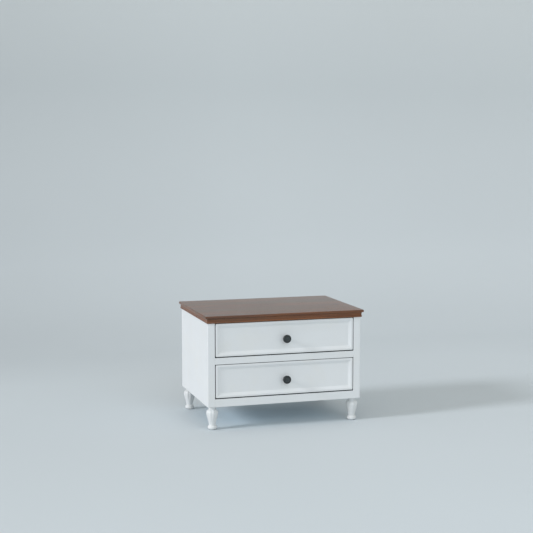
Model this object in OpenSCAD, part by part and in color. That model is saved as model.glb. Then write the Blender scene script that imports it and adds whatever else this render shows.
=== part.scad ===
// Two-drawer nightstand: a painted carcass on four turned feet, a moulded
// walnut top, and two inset drawers on ball-bearing slides with round knobs.
// X runs left to right, the front faces -Y and Z is up. The origin is on the
// floor, under the middle of the whole piece.

/* [Carcass] */
// Width of the painted body
body_w = 600; // [560:10:640]
// Depth of the painted body, front frame included
body_d = 420; // [415:5:460]
// Height of the painted body, without feet and top
body_h = 314; // [312:1:330]
// Thickness of the side panels, the base and the stretchers
board_t = 18; // [16:1:18]
// Thickness of the back panel
back_t = 4; // [3:0.5:5]
// Width of the stretchers under the top
stretcher_w = 60; // [50:5:70]

/* [Front frame] */
// Width of a stile
stile_w = 27; // [26:0.5:30]
// Thickness of the frame and of the drawer fronts
frame_t = 20; // [19:0.5:22]
// Height of the bottom rail
bottom_rail_h = 30; // [28:1:32]
// Height of the rail between the drawers
mid_rail_h = 25; // [24:1:27]

/* [Top] */
// Thickness of the top board
top_board_t = 14; // [12:1:16]
// Height of the moulding strips under the top board
moulding_h = 14; // [12:1:16]
// Width of the moulding strips
moulding_w = 60; // [55:5:65]
// Overhang at the front and the sides
overhang = 10; // [9.5:0.5:12]
// Overhang at the back
back_overhang = 5; // [3:1:8]

/* [Feet] */
// Height of the feet with their glides
foot_h = 89; // [85:1:95]
// Diameter of the bulb
bulb_d = 45; // [40:1:45]
// Diameter of the neck under the base
neck_d = 28; // [24:1:30]
// Diameter of the ankle over the foot bead
ankle_d = 25; // [24:1:28]
// Diameter of the foot bead
bead_d = 35; // [31:1:37]
// Distance from a side face to the centre of a foot
foot_in_x = 23; // [23:1:30]
// Distance from the front or back face to the centre of a foot
foot_in_y = 29; // [28:1:34]

/* [Drawers] */
// Gap at each side of a drawer front
gap_side = 3; // [2:0.25:3.5]
// Gap over a drawer front
gap_over = 2.25; // [2:0.25:3]
// Gap under a drawer front
gap_under = 3.75; // [2:0.25:4]
// Width of the raised lip round a drawer front
lip_w = 7; // [6:0.5:9]
// Width of the bevel inside the lip
bevel_w = 11.5; // [8:0.5:12]
// Depth of the recessed panel behind the lip
panel_depth = 4.5; // [4:0.5:6]
// Thickness of the drawer box boards
box_t = 12; // [12:1:13]
// Height of the drawer box
box_h = 96; // [88:8:96]
// Length of the drawer box, front to back
box_l = 350; // [350:5:360]
// Thickness of the drawer bottom
bottom_t = 4; // [3:0.5:4]

/* [Knobs] */
// Diameter of the knob head
knob_d = 31; // [28:1:34]
// How far a knob stands out from the face of its drawer
knob_proj = 26; // [24:1:28]
// How far a knob sits below the middle of its drawer front
knob_drop = 3.5; // [0:0.5:6]

/* [Slides] */
// Length of a slide
slide_l = 350; // [350:5:355]
// Travel of a drawer
slide_travel = 250; // [240:5:260]
// Width across a slide, cabinet side to drawer side
slide_t = 12.7; // [12.7:0.1:13]
// Height of a slide
slide_h = 35; // [35:1:40]

/* [Hidden] */
$fn = 48;

// Colours of the finishes
paint = "#dfe5e8";
walnut = "#6c4c39";
birch = "#dbc69c";
beech = "#c9a578";
steel = "#b4b8ba";
iron = "#2f3436";
nylon = "#e2e3df";

// Sides and drawer rows, as used by the modules below
left = -1;
right = 1;
lower = 0;
upper = 1;

// Body frame: x = 0 is the middle, y = 0 the front face, z = 0 the underside
face_y = (knob_proj - body_d - back_overhang) / 2;
inner_x = body_w / 2 - board_t;
opening_x = body_w / 2 - stile_w;
opening_h = (body_h - bottom_rail_h - mid_rail_h) / 2;
mid_rail_z = bottom_rail_h + opening_h;
back_y = body_d - back_t;
rebate = 8;
back_half_w = inner_x + rebate;

// Drawer fronts
front_w = 2 * opening_x - 2 * gap_side;
front_h = opening_h - gap_over - gap_under;
front_z = [bottom_rail_h + gap_under, mid_rail_z + mid_rail_h + gap_under];
panel_z = [for (z = front_z) z + front_h / 2];
knob_z = [for (z = panel_z) z - knob_drop];

// Drawer boxes, joined by fingers at the corners
box_x = opening_x - slide_t;
box_y = frame_t;
box_rise = 13;
box_z = [bottom_rail_h + box_rise, mid_rail_z + mid_rail_h + box_rise];
fingers = 8;
finger_h = box_h / fingers;
groove_d = 6;
groove_z = finger_h - bottom_t - 1;
front_screw_x = box_x - 60;
front_screw_z = [24, 72];

// Ball slides: s runs from the cabinet side to the drawer side
slide_y = frame_t + 2;
slide_z = [for (z = box_z) z + box_h / 2];
steel_t = 1.2;
ball_r = 2;
race_r = ball_r + 0.15;
ball_z = slide_h / 2 - race_r - steel_t;
cage_l = slide_l - slide_travel;
cage_y = slide_y + slide_travel / 2;
cage_t = 0.6;
cage_s = 1.7;
balls = 5;
slide_screw_y = [for (t = [0.1, 0.5, 0.9]) slide_y + slide_l * t];
packer_t = stile_w - board_t;
packer_h = 44;

// Top edge mouldings
nose_r = 1.6;
cove_r = 5;
band_o = 3.2;
quirk_r = 3.3;
quirk_in = 1.8;
quirk_z = 3.6;
moulding_in = moulding_w - band_o;

// Feet
glide_out = 1;
glide_t = 4;
glide_d = 20;
foot_x = body_w / 2 - foot_in_x;
foot_ys = [foot_in_y, body_d - foot_in_y];

// Fasteners: [diameter, length, head diameter]
runner_screw = [4, 20, 7.4];
box_screw = [4, 12, 7.4];
front_screw = [4, 25, 7.6];
top_screw = [4, 30, 7.6];
base_screw = [5, 50, 9.6];
back_screw = [3.5, 25, 7];
dowel_d = 8;
dowel_l = 30;
bolt_d = 8;
bolt_in_foot = 30;
insert_l = 15;
insert_d = 12;
insert_flange_d = 16;
insert_flange_t = 1.5;
glide_pin_d = 3;
glide_pin_l = 12;
knob_screw_d = 4;
knob_screw_l = 35;

// ---- Helpers ----

// Points along an arc from angle a0 to a1
function arc(cx, cy, rx, ry, a0, a1, n) =
    [for (i = [0:n]) let (a = a0 + (a1 - a0) * i / n) [cx + rx * cos(a), cy + ry * sin(a)]];

// Moves the body frame to its place over the floor
module in_body() {
    translate([0, face_y, foot_h]) children();
}

// Keeps a shape on the left or mirrors it to the right
module on_side(side) {
    mirror([side == right ? 1 : 0, 0, 0]) children();
}

// Extrudes an edge profile along X; the profile's x points to the front
module along_front(l) {
    rotate([90, 0, -90]) linear_extrude(l, center = true) children();
}

// Extrudes an edge profile along Y; the profile's x points to the right
module along_side(y0, y1) {
    translate([0, y1, 0]) rotate([90, 0, 0]) linear_extrude(y1 - y0) children();
}

// A box given by its lowest and highest corners
module block(lo, hi) {
    translate(lo) cube(hi - lo);
}

// Solid outline of a countersunk screw, head face at z = 0, pointing up
module screw_body(size) {
    cylinder(d = size[0], h = size[1] - size[0]);
    translate([0, 0, size[1] - size[0]]) cylinder(d1 = size[0], d2 = 0.6, h = size[0]);
    cylinder(d1 = size[2], d2 = size[0], h = (size[2] - size[0]) / 2);
}

// Countersunk screw with a cross recess in its head
module screw(size) {
    slot = [size[2] * 0.55, size[0] * 0.22, size[0] * 0.5];
    difference() {
        screw_body(size);
        for (turn = [0, 90]) rotate(turn) cube(slot, center = true);
    }
}

// Dowel standing on z = 0 with chamfered ends
module dowel() {
    chamfer = 1;
    translate([0, 0, chamfer]) cylinder(d = dowel_d, h = dowel_l - 2 * chamfer);
    cylinder(d1 = dowel_d - 2 * chamfer, d2 = dowel_d, h = chamfer);
    translate([0, 0, dowel_l - chamfer]) cylinder(d1 = dowel_d, d2 = dowel_d - 2 * chamfer, h = chamfer);
}

// ---- Places of the fasteners, in the body frame ----

// Dowels between the rails and one stile
module at_rail_dowels(side) {
    rail_z = [for (t = [0.3, 0.7]) bottom_rail_h * t];
    mid_z = [for (t = [0.26, 0.74]) mid_rail_z + mid_rail_h * t];
    for (z = concat(rail_z, mid_z))
        on_side(side) translate([-opening_x - dowel_l / 2, frame_t / 2, z]) rotate([0, 90, 0]) children();
}

// Dowels between one stile and its side panel
module at_stile_dowels(side) {
    for (z = [55, 140, body_h - 50])
        on_side(side) translate([-body_w / 2 + board_t / 2, frame_t - 12, z]) rotate([-90, 0, 0]) children();
}

// Dowels between the bottom rail and the base
module at_base_dowels() {
    for (x = [-180, 0, 180])
        translate([x, frame_t - 12, board_t / 2]) rotate([-90, 0, 0]) children();
}

// Dowels between a stretcher that starts at y0 and one side panel
module at_stretcher_dowels(side, y0) {
    for (t = [0.25, 0.75])
        on_side(side) translate([-inner_x - 12, y0 + stretcher_w * t, body_h - board_t / 2])
            rotate([0, 90, 0]) children();
}

// Screws up through the base into one side panel
module at_base_screws(side) {
    for (y = [80, body_d / 2, body_d - 80])
        on_side(side) translate([-body_w / 2 + board_t / 2, y, 0]) children();
}

// Screws up through a stretcher into the strip on it
module at_top_screws(y) {
    for (x = [-200, -70, 70, 200]) translate([x, y, body_h - board_t]) children();
}

// Screws through the edges of the back panel, pointing forward
module at_back_screws() {
    for (x = [-240, -120, 0, 120, 240], z = [board_t - rebate / 2, body_h - board_t / 2])
        translate([x, body_d, z]) rotate([90, 0, 0]) children();
    for (side = [left, right], z = [body_h * 0.35, body_h * 0.68])
        on_side(side) translate([-inner_x - rebate / 2, body_d, z]) rotate([90, 0, 0]) children();
}

// Screws through one runner and its packer into a side panel
module at_runner_screws(row, side) {
    for (y = slide_screw_y)
        on_side(side) translate([-opening_x + steel_t, y, slide_z[row]]) rotate([0, -90, 0]) children();
}

// Screws through one drawer slide into its box side
module at_slide_screws(row, side) {
    for (y = slide_screw_y)
        on_side(side) translate([-box_x - steel_t, y, slide_z[row]]) rotate([0, 90, 0]) children();
}

// Screws through the box front into the drawer front
module at_front_screws(row) {
    for (x = [-front_screw_x, front_screw_x], z = front_screw_z)
        translate([x, box_y + box_t, box_z[row] + z]) rotate([90, 0, 0]) children();
}

// Middle of each foot at the underside of the body
module at_feet() {
    for (x = [-foot_x, foot_x], y = foot_ys) translate([x, y, 0]) children();
}

// ---- Carcass ----

// Base: the full footprint behind the front frame; the sides stand on it
module base_board() {
    color(paint) in_body() difference() {
        block([-body_w / 2, frame_t, 0], [body_w / 2, body_d, board_t]);
        block([-back_half_w, back_y, board_t - rebate], [back_half_w, body_d + 1, board_t + 1]);
        at_feet() insert_hole();
        at_base_dowels() dowel();
        for (side = [left, right]) at_base_screws(side) screw_body(base_screw);
        at_back_screws() screw_body(back_screw);
    }
}

// Side panel, rebated at its rear edge for the back panel
module side_panel(side) {
    color(paint) in_body() difference() {
        on_side(side) difference() {
            block([-body_w / 2, frame_t, board_t], [-inner_x, body_d, body_h]);
            block([-back_half_w, back_y, board_t - 1], [-inner_x + 1, body_d + 1, body_h + 1]);
        }
        at_stile_dowels(side) dowel();
        at_base_screws(side) screw_body(base_screw);
        for (y0 = [stretcher_front_y, stretcher_back_y]) at_stretcher_dowels(side, y0) dowel();
        for (row = [lower, upper]) at_runner_screws(row, side) screw_body(runner_screw);
        at_back_screws() screw_body(back_screw);
    }
}

// Thin back panel in the rebates
module back_panel() {
    color(birch) in_body() difference() {
        block([-back_half_w, back_y, board_t - rebate], [back_half_w, body_d, body_h]);
        at_back_screws() screw_body(back_screw);
    }
}

// Upright of the front frame
module stile(side) {
    color(paint) in_body() difference() {
        on_side(side) block([-body_w / 2, 0, 0], [-opening_x, frame_t, body_h]);
        at_rail_dowels(side) dowel();
        at_stile_dowels(side) dowel();
    }
}

// Rail of the front frame between two heights
module rail(z0, z1) {
    color(paint) in_body() difference() {
        block([-opening_x, 0, z0], [opening_x, frame_t, z1]);
        for (side = [left, right]) at_rail_dowels(side) dowel();
        at_base_dowels() dowel();
    }
}

// Places of the stretchers and of the screws in them
stretcher_front_y = slide_y;
stretcher_back_y = back_y - stretcher_w;
top_screw_ys = [moulding_in - 18, stretcher_back_y + stretcher_w / 2];

// Stretcher between the side panels, under the top
module stretcher(y0, screw_y) {
    color(beech) in_body() difference() {
        block([-inner_x, y0, body_h - board_t], [inner_x, y0 + stretcher_w, body_h]);
        for (side = [left, right]) at_stretcher_dowels(side, y0) dowel();
        at_top_screws(screw_y) screw_body(top_screw);
        at_back_screws() screw_body(back_screw);
    }
}

// ---- Top ----

// Outline of the top board's moulded edge, from its upper to its lower arris
top_edge = concat(
    arc(overhang - nose_r, top_board_t - nose_r, nose_r, nose_r, 90, 0, 6),
    arc(overhang - nose_r, cove_r + nose_r, nose_r, nose_r, 0, -90, 6),
    arc(overhang - nose_r, 0, cove_r, cove_r, 100, 180, 8)
);

// Outline of the band and its low bead, from top to bottom
quirk_a = acos(quirk_in / quirk_r);
band_edge = concat(
    [[band_o, moulding_h]],
    arc(band_o - quirk_in, quirk_z, quirk_r, quirk_r, quirk_a, -quirk_a, 10),
    [[band_o, 0]]
);

// Top board: moulded at the front and both sides, square at the back
module top_board() {
    side_edge = [for (p = top_edge) [p.x + body_w / 2, p.y]];
    n = len(side_edge) - 1;
    color(walnut) in_body() translate([0, 0, body_h + moulding_h]) intersection() {
        along_front(body_w + 2 * overhang)
            polygon(concat(top_edge, [[-body_d - back_overhang, 0], [-body_d - back_overhang, top_board_t]]));
        along_side(-overhang, body_d + back_overhang)
            polygon(concat(side_edge, [for (i = [n:-1:0]) [-side_edge[i].x, side_edge[i].y]]));
    }
}

// Cross section of a moulding strip
module moulding_section() {
    polygon(concat(band_edge, [[-moulding_in, 0], [-moulding_in, moulding_h]]));
}

// Front strip, mitred at both ends
module moulding_front() {
    out_x = body_w / 2 + overhang;
    in_x = body_w / 2 - moulding_in;
    color(walnut) in_body() translate([0, 0, body_h]) difference() {
        intersection() {
            along_front(2 * out_x) moulding_section();
            linear_extrude(moulding_h)
                polygon([[-out_x, -overhang], [out_x, -overhang], [in_x, moulding_in], [-in_x, moulding_in]]);
        }
        translate([0, 0, -body_h]) at_top_screws(top_screw_ys[0]) screw_body(top_screw);
    }
}

// Side strip, mitred at its front end
module moulding_side(side) {
    out_x = body_w / 2 + overhang;
    in_x = body_w / 2 - moulding_in;
    end_y = body_d + back_overhang;
    color(walnut) in_body() translate([0, 0, body_h]) on_side(-side) intersection() {
        translate([body_w / 2, 0, 0]) along_side(-overhang, end_y) moulding_section();
        linear_extrude(moulding_h)
            polygon([[out_x, -overhang], [out_x, end_y], [in_x, end_y], [in_x, moulding_in]]);
    }
}

// Batten between the side strips, under the rear of the top board
module top_batten() {
    in_x = body_w / 2 - moulding_in;
    color(walnut) in_body() difference() {
        block([-in_x, body_d - moulding_w, body_h], [in_x, body_d, body_h + moulding_h]);
        at_top_screws(top_screw_ys[1]) screw_body(top_screw);
    }
}

// ---- Feet ----

// Half outline of a foot: bead, ankle, tapered vase, shoulder and neck
bead_z = 8.5;
bead_top = 16;
bead_in = [3.5, 6.5];
ankle_z = bead_top + 2;
bulb_z = foot_h - 27;
neck_z = foot_h - 13;
collar_h = 6;
foot_outline = concat(
    [[0, glide_out]],
    arc(bead_d / 2 - bead_in[1], bead_z, bead_in[1], bead_z - glide_out, -90, -5, 7),
    arc(bead_d / 2 - bead_in[0], bead_z, bead_in[0], bead_top - bead_z, 0, 90, 6),
    [for (i = [0:12]) let (t = i / 12, swell = (1 - cos(180 * t)) / 4 + t / 2)
        [ankle_d / 2 + (bulb_d - ankle_d) / 2 * swell, ankle_z + (bulb_z - ankle_z) * t]],
    arc(neck_d / 2, bulb_z, (bulb_d - neck_d) / 2, neck_z - bulb_z, 10, 85, 9),
    [[neck_d / 2, neck_z], [neck_d / 2, foot_h - collar_h], [neck_d / 2 + 1, foot_h], [0, foot_h]]
);

// Outer shape of a threaded insert, with its flange at z = 0
module insert_body() {
    cylinder(d = insert_d, h = insert_l);
    cylinder(d = insert_flange_d, h = insert_flange_t);
}

// Pocket for an insert, with room for the end of its bolt
module insert_hole() {
    insert_body();
    cylinder(d = insert_d, h = insert_l + 1.5);
}

// Hanger bolt: its point is in the foot, and z = 0 is the top of the foot
module hanger_bolt() {
    translate([0, 0, 5 - bolt_in_foot]) cylinder(d = bolt_d, h = bolt_in_foot - 5 + insert_l);
    translate([0, 0, -bolt_in_foot]) cylinder(d1 = 1, d2 = bolt_d, h = 5);
}

module foot(side, row_y) {
    color(paint) translate([side * foot_x, face_y + foot_ys[row_y], 0]) difference() {
        rotate_extrude() polygon(foot_outline);
        translate([0, 0, foot_h]) hanger_bolt();
        cylinder(d = glide_d, h = glide_t);
        cylinder(d = glide_pin_d, h = glide_t + glide_pin_l);
    }
}

module foot_bolts() {
    color(steel) in_body() at_feet() hanger_bolt();
}

module foot_inserts() {
    color(steel) in_body() at_feet() difference() {
        insert_body();
        translate([0, 0, -1]) cylinder(d = bolt_d, h = insert_l + 2);
    }
}

// Nail-on glides let into the feet
module floor_glides() {
    round_r = 1;
    color(nylon) translate([0, face_y, 0]) at_feet() rotate_extrude() polygon(concat(
        [[0, 0]],
        arc(glide_d / 2 - round_r, round_r, round_r, round_r, -90, 0, 5),
        [[glide_d / 2, glide_t], [glide_pin_d / 2, glide_t], [glide_pin_d / 2, glide_t + glide_pin_l],
         [0, glide_t + glide_pin_l]]
    ));
}

// ---- Slides ----

// Half ring round a ball row, cut to the box from lo to hi
module race(lo, hi) {
    intersection() {
        difference() {
            circle(r = race_r + steel_t);
            circle(r = race_r);
        }
        translate(lo) square(hi - lo);
    }
}

// Cabinet member: its curls reach over the ball rows
module outer_section() {
    reach = race_r + steel_t;
    translate([0, -slide_h / 2]) square([steel_t, slide_h]);
    for (m = [0, 1]) mirror([0, m]) translate([slide_t / 2, ball_z]) {
        translate([-slide_t / 2, race_r]) square([slide_t / 2, steel_t]);
        race([0, -0.3], [reach, reach]);
    }
}

// Drawer member: its curls lie under the ball rows
module inner_section() {
    reach = race_r + steel_t;
    web_h = 2 * (ball_z - race_r);
    translate([slide_t - steel_t, -web_h / 2]) square([steel_t, web_h]);
    for (m = [0, 1]) mirror([0, m]) translate([slide_t / 2, ball_z]) {
        translate([0, -reach]) square([slide_t / 2, steel_t]);
        race([-reach, -reach], [0, -1]);
    }
}

// Strip that spaces the balls, with a lip along each row
module cage_section() {
    lip_z = 0.2;
    translate([cage_s, -ball_z - lip_z - cage_t]) square([cage_t, 2 * (ball_z + lip_z + cage_t)]);
    for (m = [0, 1]) mirror([0, m])
        translate([cage_s, ball_z + lip_z]) square([slide_t / 2 + 1.85 - cage_s, cage_t]);
}

// Extrudes a slide section along Y beside one side panel
module along_slide(row, side, y0, l) {
    on_side(side) translate([-opening_x, y0 + l, slide_z[row]])
        rotate([90, 0, 0]) linear_extrude(l) children();
}

module runner(row, side) {
    color(steel) in_body() difference() {
        along_slide(row, side, slide_y, slide_l) outer_section();
        at_runner_screws(row, side) screw_body(runner_screw);
    }
}

module drawer_slide(row, side) {
    color(steel) in_body() difference() {
        along_slide(row, side, slide_y, slide_l) inner_section();
        at_slide_screws(row, side) screw_body(box_screw);
    }
}

// Centres of one slide's balls
module at_balls(row, side) {
    pitch = cage_l / balls;
    for (i = [0:balls - 1], z = [-ball_z, ball_z])
        on_side(side) translate([-opening_x + slide_t / 2, cage_y + pitch * (i + 0.5), slide_z[row] + z])
            children();
}

module ball_cage(row, side) {
    pocket_r = ball_r + 0.1;
    color(steel) in_body() {
        difference() {
            along_slide(row, side, cage_y, cage_l) cage_section();
            at_balls(row, side) cylinder(r = pocket_r, h = 4, center = true);
        }
        at_balls(row, side) sphere(r = ball_r, $fn = 24);
    }
}

// Strips that bring the runners flush with the stiles
module packers(side) {
    color(beech) in_body() difference() {
        on_side(side) for (z = slide_z)
            block([-inner_x, slide_y, z - packer_h / 2],
                  [-inner_x + packer_t, slide_y + slide_l, z + packer_h / 2]);
        for (row = [lower, upper]) at_runner_screws(row, side) screw_body(runner_screw);
    }
}

module runner_screws() {
    color(steel) in_body() for (row = [lower, upper], side = [left, right])
        at_runner_screws(row, side) screw(runner_screw);
}

// ---- Carcass fasteners ----

module top_screws() {
    color(steel) in_body() for (y = top_screw_ys) at_top_screws(y) screw(top_screw);
}

module base_screws() {
    color(steel) in_body() for (side = [left, right]) at_base_screws(side) screw(base_screw);
}

module back_screws() {
    color(steel) in_body() at_back_screws() screw(back_screw);
}

module frame_dowels() {
    color(beech) in_body() {
        at_base_dowels() dowel();
        for (side = [left, right]) {
            at_rail_dowels(side) dowel();
            at_stile_dowels(side) dowel();
            for (y0 = [stretcher_front_y, stretcher_back_y]) at_stretcher_dowels(side, y0) dowel();
        }
    }
}

// ---- Drawers ----

// Front board: a recessed panel inside a bevel and a raised lip
module drawer_front(row) {
    x0 = front_w / 2 - lip_w;
    z0 = front_h / 2 - lip_w;
    over = 1;
    grow = bevel_w / panel_depth * over;
    color(paint) in_body() difference() {
        block([-front_w / 2, 0, front_z[row]], [front_w / 2, frame_t, front_z[row] + front_h]);
        translate([0, 0, panel_z[row]]) intersection() {
            along_front(front_w) polygon([
                [over, -z0 - grow], [over, z0 + grow], [-panel_depth, z0 - bevel_w], [-panel_depth, bevel_w - z0]
            ]);
            translate([0, 0, -front_h / 2]) linear_extrude(front_h) polygon([
                [-x0 - grow, -over], [x0 + grow, -over], [x0 - bevel_w, panel_depth], [bevel_w - x0, panel_depth]
            ]);
        }
        knob_screw_hole(row);
        at_front_screws(row) screw_body(front_screw);
    }
}

// Corner cells of the box that belong to the even or the odd fingers
module finger_cells(row, first) {
    for (i = [first:2:fingers - 1], x = [-box_x, box_x - box_t], y = [box_y, box_y + box_l - box_t])
        translate([x, y, box_z[row] + i * finger_h]) cube([box_t, box_t, finger_h]);
}

// Bottom of the box, held in grooves all round
module bottom_blank(row) {
    in_x = box_x - box_t + groove_d;
    in_y = box_t - groove_d;
    z0 = box_z[row] + groove_z;
    block([-in_x, box_y + in_y, z0], [in_x, box_y + box_l - in_y, z0 + bottom_t]);
}

module box_side(row, side) {
    color(birch) in_body() difference() {
        on_side(side) block([-box_x, box_y, box_z[row]],
                            [-box_x + box_t, box_y + box_l, box_z[row] + box_h]);
        finger_cells(row, 1);
        bottom_blank(row);
        at_slide_screws(row, side) screw_body(box_screw);
    }
}

// Front or back board of the box, from y0
module box_end(row, y0) {
    color(birch) in_body() difference() {
        block([-box_x, y0, box_z[row]], [box_x, y0 + box_t, box_z[row] + box_h]);
        finger_cells(row, 0);
        bottom_blank(row);
        knob_screw_hole(row);
        at_front_screws(row) screw_body(front_screw);
    }
}

module box_bottom(row) {
    color(birch) in_body() bottom_blank(row);
}

module box_screws(row) {
    color(steel) in_body() {
        at_front_screws(row) screw(front_screw);
        for (side = [left, right]) at_slide_screws(row, side) screw(box_screw);
    }
}

// ---- Knobs ----

knob_l = knob_proj + panel_depth;
head_r = knob_d / 2;
ring_r = 8.8;
button_r = 2.3;
dish = 0.9;
waist_r = 5.6;
waist_end = 15;
flare_l = 9;
head_round = 4;
knob_outline = concat(
    [[0, 0]],
    arc(8, 1.2, 1, 1.2, -90, 90, 6),
    [for (i = [0:7]) let (t = i / 8) [waist_r + 1.9 * pow(1 - t, 2), 2.4 + (waist_end - 2.4) * t]],
    arc(waist_r, waist_end + flare_l, head_r - waist_r, flare_l, -90, 0, 8),
    arc(head_r - head_round, knob_l - head_round, head_round, head_round, 0, 90, 8),
    [[ring_r + 0.9, knob_l], [ring_r, knob_l - dish], [button_r + 0.5, knob_l - dish / 2],
     [button_r, knob_l], [0, knob_l]]
);

// Turned knob on the recessed panel of its drawer, tapped for its screw
module knob(row) {
    color(iron) in_body() translate([0, panel_depth, knob_z[row]]) rotate([90, 0, 0]) difference() {
        rotate_extrude() polygon(knob_outline);
        translate([0, 0, -1]) cylinder(d = knob_screw_d, h = knob_screw_reach + 1.5);
    }
}

// How far the knob screw goes into the knob
knob_screw_reach = knob_screw_l - (box_y + box_t - panel_depth);

// Clearance hole for the knob screw through the box front and the front
module knob_screw_hole(row) {
    translate([0, box_y + box_t + 1, knob_z[row]]) rotate([90, 0, 0])
        cylinder(d = knob_screw_d + 0.5, h = box_y + box_t + 2);
}

module knob_screw(row) {
    head_d = 8.5;
    head_h = 2.6;
    color(steel) in_body() translate([0, box_y + box_t, knob_z[row]]) rotate([90, 0, 0]) difference() {
        union() {
            cylinder(d = knob_screw_d, h = knob_screw_l);
            translate([0, 0, -head_h]) cylinder(d1 = head_d - 1.6, d2 = head_d, h = head_h);
        }
        translate([0, 0, -head_h]) for (turn = [0, 90]) rotate(turn) cube([4.6, 0.9, 2.4], center = true);
    }
}

// ---- Parts by name ----

base_board();
side_panel(left);  // side_panel_left
side_panel(right);  // side_panel_right
back_panel();
stile(left);  // stile_left
stile(right);  // stile_right
rail(0, bottom_rail_h);  // bottom_rail
rail(mid_rail_z, mid_rail_z + mid_rail_h);  // mid_rail
stretcher(stretcher_front_y, top_screw_ys[0]);  // stretcher_front
stretcher(stretcher_back_y, top_screw_ys[1]);  // stretcher_back
top_board();
moulding_front();
moulding_side(left);  // moulding_left
moulding_side(right);  // moulding_right
top_batten();
foot(left, 0);  // foot_front_left
foot(right, 0);  // foot_front_right
foot(left, 1);  // foot_back_left
foot(right, 1);  // foot_back_right
foot_bolts();
foot_inserts();
floor_glides();
packers(left);  // packers_left
packers(right);  // packers_right
runner(upper, left);  // runner_upper_left
runner(upper, right);  // runner_upper_right
runner(lower, left);  // runner_lower_left
runner(lower, right);  // runner_lower_right
runner_screws();
top_screws();
base_screws();
back_screws();
frame_dowels();
drawer_front(upper);  // upper_front
box_end(upper, box_y);  // upper_box_front
box_side(upper, left);  // upper_box_left
box_side(upper, right);  // upper_box_right
box_end(upper, box_y + box_l - box_t);  // upper_box_back
box_bottom(upper);  // upper_box_bottom
knob(upper);  // upper_knob
knob_screw(upper);  // upper_knob_screw
drawer_slide(upper, left);  // upper_slide_left
drawer_slide(upper, right);  // upper_slide_right
box_screws(upper);  // upper_box_screws
drawer_front(lower);  // lower_front
box_end(lower, box_y);  // lower_box_front
box_side(lower, left);  // lower_box_left
box_side(lower, right);  // lower_box_right
box_end(lower, box_y + box_l - box_t);  // lower_box_back
box_bottom(lower);  // lower_box_bottom
knob(lower);  // lower_knob
knob_screw(lower);  // lower_knob_screw
drawer_slide(lower, left);  // lower_slide_left
drawer_slide(lower, right);  // lower_slide_right
box_screws(lower);  // lower_box_screws
ball_cage(upper, left);  // ball_cage_upper_left
ball_cage(upper, right);  // ball_cage_upper_right
ball_cage(lower, left);  // ball_cage_lower_left
ball_cage(lower, right);  // ball_cage_lower_right
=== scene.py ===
import itertools
import math

import bmesh
import bpy
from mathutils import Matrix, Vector


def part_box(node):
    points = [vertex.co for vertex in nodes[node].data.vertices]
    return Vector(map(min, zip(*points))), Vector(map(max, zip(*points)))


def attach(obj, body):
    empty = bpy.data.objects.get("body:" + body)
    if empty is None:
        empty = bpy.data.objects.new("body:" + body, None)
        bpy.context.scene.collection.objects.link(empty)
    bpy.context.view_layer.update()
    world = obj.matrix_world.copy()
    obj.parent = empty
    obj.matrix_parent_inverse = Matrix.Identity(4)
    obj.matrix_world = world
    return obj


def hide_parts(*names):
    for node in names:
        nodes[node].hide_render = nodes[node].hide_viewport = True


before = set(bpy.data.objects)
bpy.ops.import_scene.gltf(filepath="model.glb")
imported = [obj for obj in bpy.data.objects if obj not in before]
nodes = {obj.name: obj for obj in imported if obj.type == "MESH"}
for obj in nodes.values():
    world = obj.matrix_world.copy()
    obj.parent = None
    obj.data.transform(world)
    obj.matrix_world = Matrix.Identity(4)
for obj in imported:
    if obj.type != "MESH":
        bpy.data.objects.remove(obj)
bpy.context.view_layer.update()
scene = bpy.context.scene
print("frame loaded:", len(nodes), "nodes")

# Where the painted body lies, read from the frame
stileLow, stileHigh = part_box("stile_right")
halfBody = stileHigh.x
faceY = stileLow.y
underside = stileLow.z
bodyTop = stileHigh.z
mm = 0.001


# Camera, lights and stage

cameraSetup = {
    "place": (-1.39412, faceY - 4.31613, underside + 1.00512),
    "turn": 17.002,      # degrees to the right of straight ahead
    "tilt": 6.153,       # degrees down
    "lens": 82.772,
    "sensor": 36.0,
}

stageSetup = {
    "near": -8.0,
    "bendStart": 1.5,
    "bendRadius": 1.4,
    "wallHeight": 7.0,
    "halfWidth": 9.0,
    "bendSteps": 40,
    "colour": (0.620, 0.665, 0.693, 1),
    # lighter, warmer colour up the wall: painted light
    "wallTopLight": (0.632, 0.665, 0.680, 1),
    # bluer floor colour under the body: painted shade
    "shade": (0.600, 0.695, 0.755, 1),
}

lightSetup = {
    "sky": (1.0, 0.995, 0.955, 1),
    "skyStrength": 0.668,
    "sunTurn": 8,        # degrees from straight left towards the front
    "sunHeight": 24,
    "sunSpread": 12,
    "sunColour": (0.916, 0.946, 1.0),
    "sunPower": 1.78,
    "fillPlace": (0.0, -6.0, 3.0),
    "fillAim": (0.0, 0.5, 0.3),
    "fillSize": 4.0,
    "fillColour": (0.69, 0.865, 1.0),
    "fillPower": 85,
}


def makeCamera():
    data = bpy.data.cameras.new("viewCamera")
    data.lens = cameraSetup["lens"]
    data.sensor_width = cameraSetup["sensor"]
    data.clip_end = 60
    camera = bpy.data.objects.new("viewCamera", data)
    camera.location = cameraSetup["place"]
    tilt = math.radians(90 - cameraSetup["tilt"])
    camera.rotation_euler = (tilt, 0, math.radians(-cameraSetup["turn"]))
    scene.collection.objects.link(camera)
    scene.camera = camera


def addLight(name, kind, place, aim, colour, power):
    data = bpy.data.lights.new(name, kind)
    data.color = colour
    data.energy = power
    lamp = bpy.data.objects.new(name, data)
    lamp.location = place
    lamp.rotation_euler = (Vector(aim) - Vector(place)).to_track_quat("-Z", "Y").to_euler()
    scene.collection.objects.link(lamp)
    return data


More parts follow.
